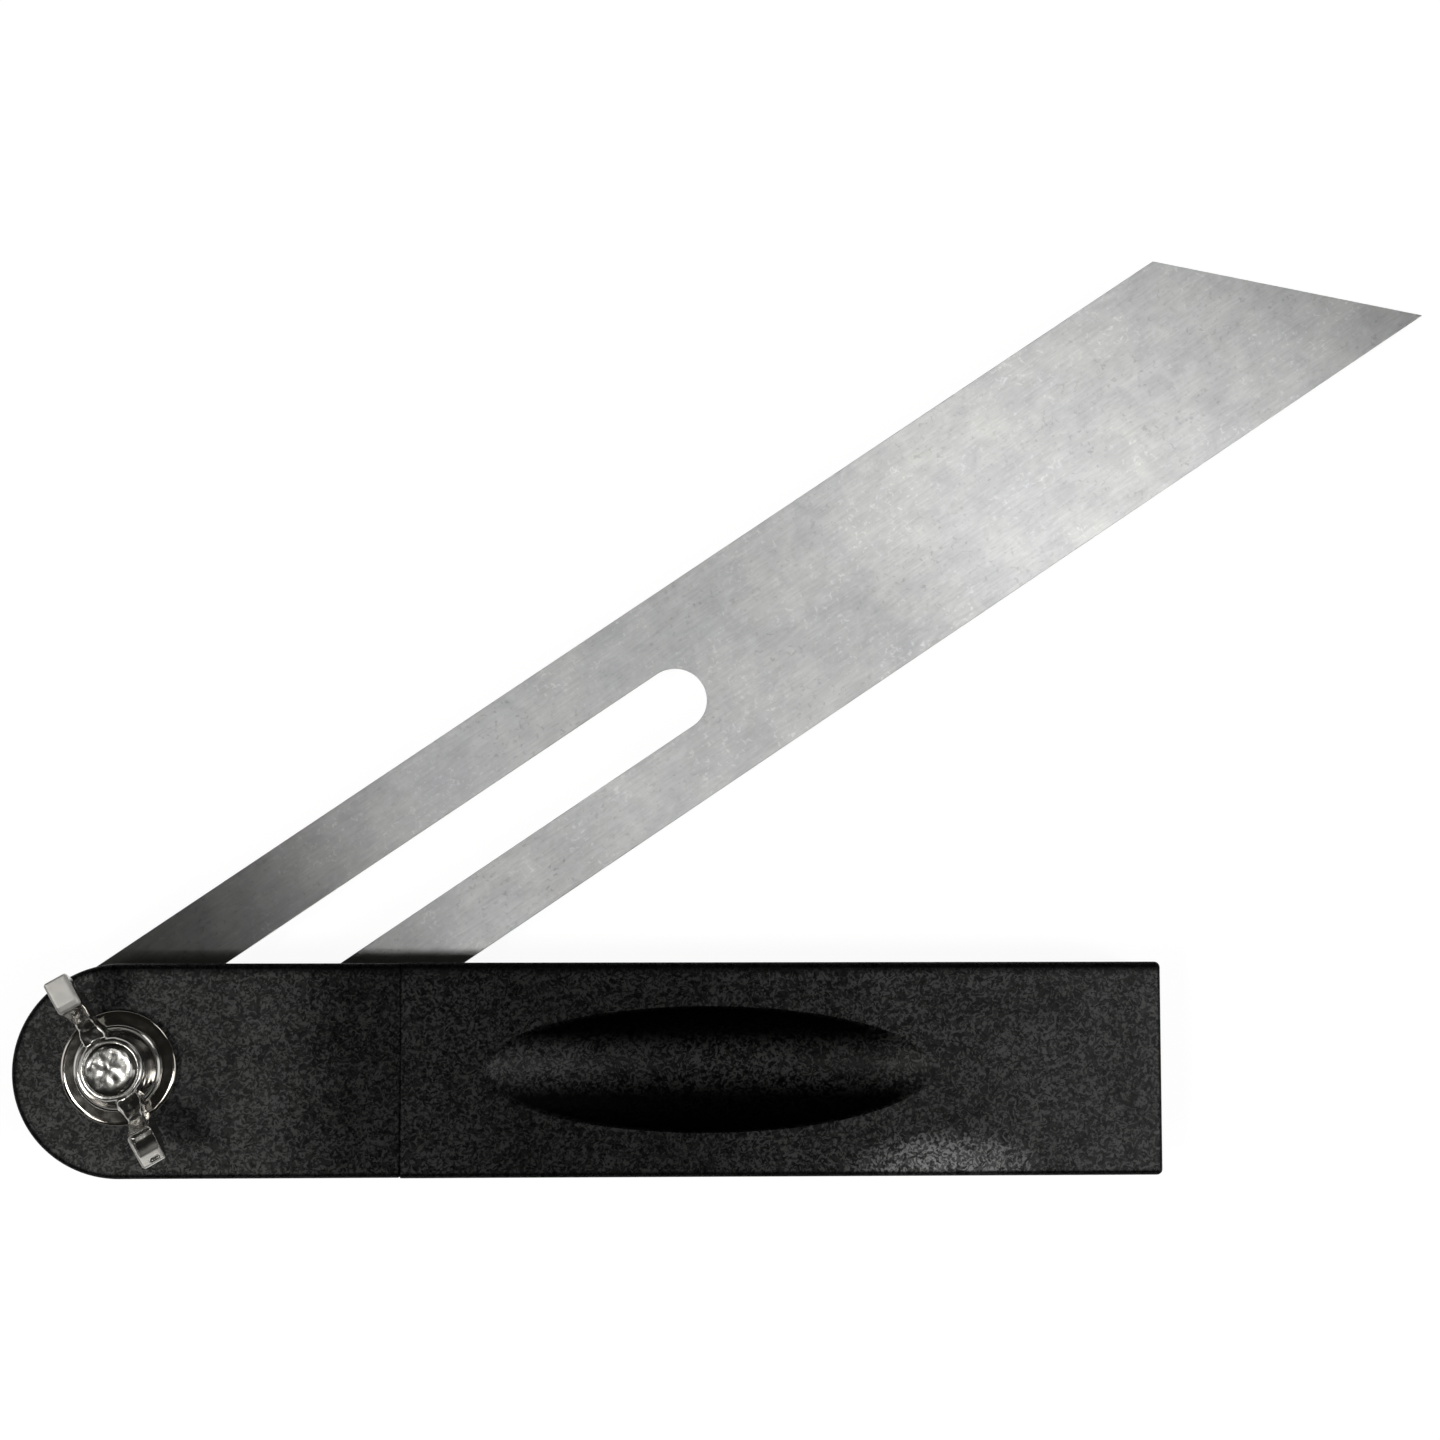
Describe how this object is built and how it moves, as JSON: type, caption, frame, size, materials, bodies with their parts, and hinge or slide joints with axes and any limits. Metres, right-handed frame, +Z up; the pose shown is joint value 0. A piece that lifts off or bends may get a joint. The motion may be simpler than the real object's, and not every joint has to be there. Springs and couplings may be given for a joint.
{
  "type": "sliding bevel",
  "caption": "Sliding bevel with a forked plastic handle, a slotted steel blade that swings and slides on a pivot bolt, and a wing nut that locks it.",
  "frame": {"origin": "centre of the pivot bolt's head, in the plane of the handle's back face", "axes": "+X along the handle towards its butt, +Y towards the handle's open edge, +Z up the pivot bolt towards the wing nut"},
  "size_m": [0.1789, 0.1172, 0.0313],
  "materials": {
    "black_plastic": "moulded black plastic with a fine spark-eroded grain",
    "bolt_nickel": "nickel plate over cold-headed steel",
    "bush_brass": "turned, plain",
    "ground_steel": "ground along the blade's length",
    "washer_nickel": "bright nickel plate",
    "nut_nickel": "bright nickel plate over a casting"
  },
  "bodies": {
    "handle_group": {"handle": "black_plastic", "bolt": "bolt_nickel"},
    "swivel": {"slot_bush": "bush_brass"},
    "blade_group": {"blade": "ground_steel"},
    "washer_group": {"washer": "washer_nickel"},
    "nut_group": {"wing_nut": "nut_nickel"}
  },
  "joints": [
    {"name": "blade_swing", "type": "hinge", "parent": "handle_group", "child": "swivel", "pos_m": [0, 0, 0.009], "axis": [0, 0, 1], "range_deg": [-34, 281]},
    {"name": "blade_slide", "type": "slide", "parent": "swivel", "child": "blade_group", "axis": [-0.8284, -0.5602, 0], "range_m": [0, 0.0825]},
    {"name": "washer_lift", "type": "slide", "parent": "handle_group", "child": "washer_group", "axis": [0, 0, 1], "range_m": [0, 0.002]},
    {"name": "nut_spin", "type": "hinge", "parent": "washer_group", "child": "nut_group", "pos_m": [0, 0, 0.0225], "axis": [0, 0, 1], "range_deg": [0, 720]}
  ],
  "couplings": [
    {"joint": "washer_lift", "follows": "nut_spin", "m_per_rad": 0.00015915}
  ]
}
